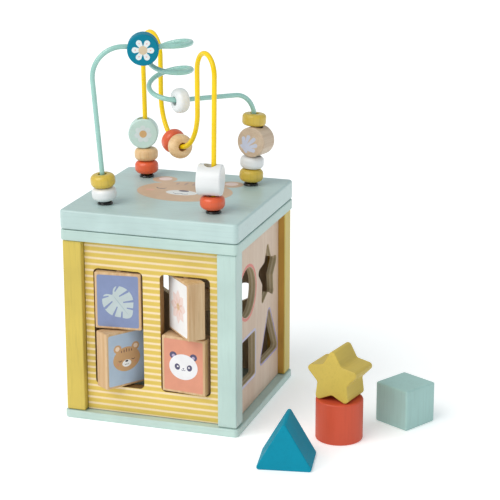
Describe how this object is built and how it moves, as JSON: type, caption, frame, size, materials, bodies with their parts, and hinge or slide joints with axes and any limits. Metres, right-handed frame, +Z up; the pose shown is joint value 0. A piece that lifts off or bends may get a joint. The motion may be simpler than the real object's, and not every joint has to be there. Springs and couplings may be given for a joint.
{
  "type": "wooden shape sorter cube",
  "caption": "Wooden shape sorting cube with spinning picture tiles, shaped holes, loose blocks and a lid that carries a bead maze.",
  "frame": {"origin": "centre of the underside of the base plate, on the floor", "axes": "+Z up, -Y the front with the spinning tiles, +X the side with the shaped holes"},
  "size_m": [0.2906, 0.2084, 0.3149],
  "materials": {
    "base_paint": "satin mint paint",
    "rim_paint": "satin mint paint",
    "lid_paint": "satin mint paint with a printed animal face",
    "post_mint": "satin mint paint",
    "post_mustard": "satin mustard paint with wood grain showing",
    "stripe_panel": "matt mustard print with fine cream lines",
    "birch_panel": "bare pale plywood, satin lacquer",
    "birch": "bare wood, satin lacquer",
    "tile_wood": "bare wood with a printed picture on each face",
    "yellow_enamel": "gloss yellow enamel",
    "green_enamel": "gloss mint enamel",
    "black_plastic": "gloss black",
    "white_paint": "satin white paint",
    "coral_paint": "satin coral paint",
    "ochre_paint": "satin ochre paint",
    "blue_paint": "satin blue paint with a printed flower",
    "mint_paint": "satin mint paint",
    "teal_paint": "satin teal paint",
    "steel": "zinc plated"
  },
  "bodies": {
    "box": {"base_plate": "base_paint", "top_rim": "rim_paint", "post_front_left": "post_mustard", "post_front_right": "post_mint", "post_back_left": "post_mint", "post_back_right": "post_mustard", "front_panel": "stripe_panel", "back_panel": "birch_panel", "left_panel": "stripe_panel", "right_panel": "birch_panel", "axle_left": "birch", "axle_right": "birch", "base_screw_front_left": "steel", "base_screw_front_right": "steel", "base_screw_back_left": "steel", "base_screw_back_right": "steel"},
    "lid": {"lid_board": "lid_paint", "lid_insert": "birch", "wire_yellow": "yellow_enamel", "wire_green": "green_enamel", "cap_front_left": "black_plastic", "cap_front_right": "black_plastic", "cap_back_left": "black_plastic", "cap_back_right": "black_plastic"},
    "slider": {"slider_knob": "coral_paint", "slider_washer": "birch"},
    "tile_leaf": {"tile_leaf": "tile_wood"},
    "tile_bear": {"tile_bear": "tile_wood"},
    "tile_flower": {"tile_flower": "tile_wood"},
    "tile_panda": {"tile_panda": "tile_wood"},
    "bead_front_left_white": {"bead_front_left_white": "white_paint"},
    "bead_front_left_ochre": {"bead_front_left_ochre": "ochre_paint"},
    "bead_back_left_coral": {"bead_back_left_coral": "coral_paint"},
    "bead_back_left_birch": {"bead_back_left_birch": "birch"},
    "bead_back_left_disc": {"bead_back_left_disc": "mint_paint"},
    "bead_front_right_coral": {"bead_front_right_coral": "coral_paint"},
    "bead_front_right_drum": {"bead_front_right_drum": "white_paint"},
    "bead_back_right_ochre": {"bead_back_right_ochre": "ochre_paint"},
    "bead_back_right_white": {"bead_back_right_white": "white_paint"},
    "bead_back_right_disc": {"bead_back_right_disc": "birch"},
    "bead_back_right_crown": {"bead_back_right_crown": "ochre_paint"},
    "bead_valley_coral": {"bead_valley_coral": "coral_paint"},
    "bead_valley_birch": {"bead_valley_birch": "birch"},
    "bead_arch_disc": {"bead_arch_disc": "blue_paint"},
    "bead_coil_white": {"bead_coil_white": "white_paint"},
    "block_cube": {"block_cube": "mint_paint"},
    "block_cylinder": {"block_cylinder": "coral_paint"},
    "block_triangle": {"block_triangle": "teal_paint"},
    "block_star": {"block_star": "ochre_paint"}
  },
  "joints": [
    {"name": "lid_lift", "type": "slide", "parent": "box", "child": "lid", "axis": [0, 0, 1], "range_m": [0, 0.1]},
    {"name": "slider_swing", "type": "hinge", "parent": "box", "child": "slider", "pos_m": [0, 0.0645, 0.133], "axis": [0, 1, 0], "range_deg": [-33, 33]},
    {"name": "tile_leaf_spin", "type": "hinge", "parent": "box", "child": "tile_leaf", "pos_m": [-0.0285, -0.063, 0.1034], "axis": [0, 0, 1], "continuous": true},
    {"name": "tile_bear_spin", "type": "hinge", "parent": "box", "child": "tile_bear", "pos_m": [-0.0285, -0.063, 0.0546], "axis": [0, 0, 1], "continuous": true},
    {"name": "tile_flower_spin", "type": "hinge", "parent": "box", "child": "tile_flower", "pos_m": [0.0285, -0.063, 0.1034], "axis": [0, 0, 1], "continuous": true},
    {"name": "tile_panda_spin", "type": "hinge", "parent": "box", "child": "tile_panda", "pos_m": [0.0285, -0.063, 0.0546], "axis": [0, 0, 1], "continuous": true},
    {"name": "front_left_white_slide", "type": "slide", "parent": "lid", "child": "bead_front_left_white", "axis": [-0.0573, -0.0573, 0.9967], "range_m": [0, 0.05]},
    {"name": "front_left_ochre_slide", "type": "slide", "parent": "bead_front_left_white", "child": "bead_front_left_ochre", "axis": [-0.0573, -0.0573, 0.9967], "range_m": [0, 0.018]},
    {"name": "back_left_coral_slide", "type": "slide", "parent": "lid", "child": "bead_back_left_coral", "axis": [-0.0292, 0.0292, 0.9991], "range_m": [0, 0.03]},
    {"name": "back_left_birch_slide", "type": "slide", "parent": "bead_back_left_coral", "child": "bead_back_left_birch", "axis": [-0.0292, 0.0292, 0.9991], "range_m": [0, 0.015]},
    {"name": "back_left_disc_spin", "type": "hinge", "parent": "bead_back_left_birch", "child": "bead_back_left_disc", "pos_m": [-0.0465, 0.0465, 0.177], "axis": [-0.0292, 0.0292, 0.9991], "continuous": true},
    {"name": "front_right_coral_slide", "type": "slide", "parent": "lid", "child": "bead_front_right_coral", "axis": [0.0207, -0.0207, 0.9996], "range_m": [0, 0.055]},
    {"name": "front_right_drum_spin", "type": "hinge", "parent": "bead_front_right_coral", "child": "bead_front_right_drum", "pos_m": [0.0454, -0.0454, 0.177], "axis": [0.0207, -0.0207, 0.9996], "continuous": true},
    {"name": "back_right_ochre_slide", "type": "slide", "parent": "lid", "child": "bead_back_right_ochre", "axis": [0.0407, 0.0407, 0.9983], "range_m": [0, 0.0015]},
    {"name": "back_right_white_spin", "type": "hinge", "parent": "bead_back_right_ochre", "child": "bead_back_right_white", "pos_m": [0.0465, 0.0465, 0.177], "axis": [0.0407, 0.0407, 0.9983], "continuous": true},
    {"name": "back_right_disc_spin", "type": "hinge", "parent": "bead_back_right_white", "child": "bead_back_right_disc", "pos_m": [0.0465, 0.0465, 0.177], "axis": [0.0407, 0.0407, 0.9983], "continuous": true},
    {"name": "back_right_crown_spin", "type": "hinge", "parent": "bead_back_right_disc", "child": "bead_back_right_crown", "pos_m": [0.0465, 0.0465, 0.177], "axis": [0.0407, 0.0407, 0.9983], "continuous": true},
    {"name": "valley_coral_swing", "type": "hinge", "parent": "lid", "child": "bead_valley_coral", "pos_m": [0.00071, -0.00071, 0.253], "axis": [-0.7071, -0.7071, 0], "range_deg": [-50, 30]},
    {"name": "valley_birch_swing", "type": "hinge", "parent": "bead_valley_coral", "child": "bead_valley_birch", "pos_m": [0.00071, -0.00071, 0.253], "axis": [-0.7071, -0.7071, 0], "range_deg": [0, 30]},
    {"name": "coil_white_turn", "type": "hinge", "parent": "lid", "child": "bead_coil_white", "pos_m": [-0.0044, -0.006, 0.2597], "axis": [0, 0, 1], "range_deg": [-6, 18]},
    {"name": "arch_disc_slide", "type": "slide", "parent": "lid", "child": "bead_arch_disc", "axis": [0.8692, 0.4936, -0.03], "range_m": [-0.006, 0.008]},
    {"name": "block_cube_lift", "type": "slide", "parent": "box", "child": "block_cube", "axis": [0, 0, 1], "range_m": [0, 0.15]},
    {"name": "block_cylinder_lift", "type": "slide", "parent": "box", "child": "block_cylinder", "axis": [0, 0, 1], "range_m": [0, 0.15]},
    {"name": "block_triangle_lift", "type": "slide", "parent": "box", "child": "block_triangle", "axis": [0, 0, 1], "range_m": [0, 0.15]},
    {"name": "block_star_lift", "type": "slide", "parent": "block_cylinder", "child": "block_star", "axis": [0, 0, 1], "range_m": [0, 0.1]}
  ]
}
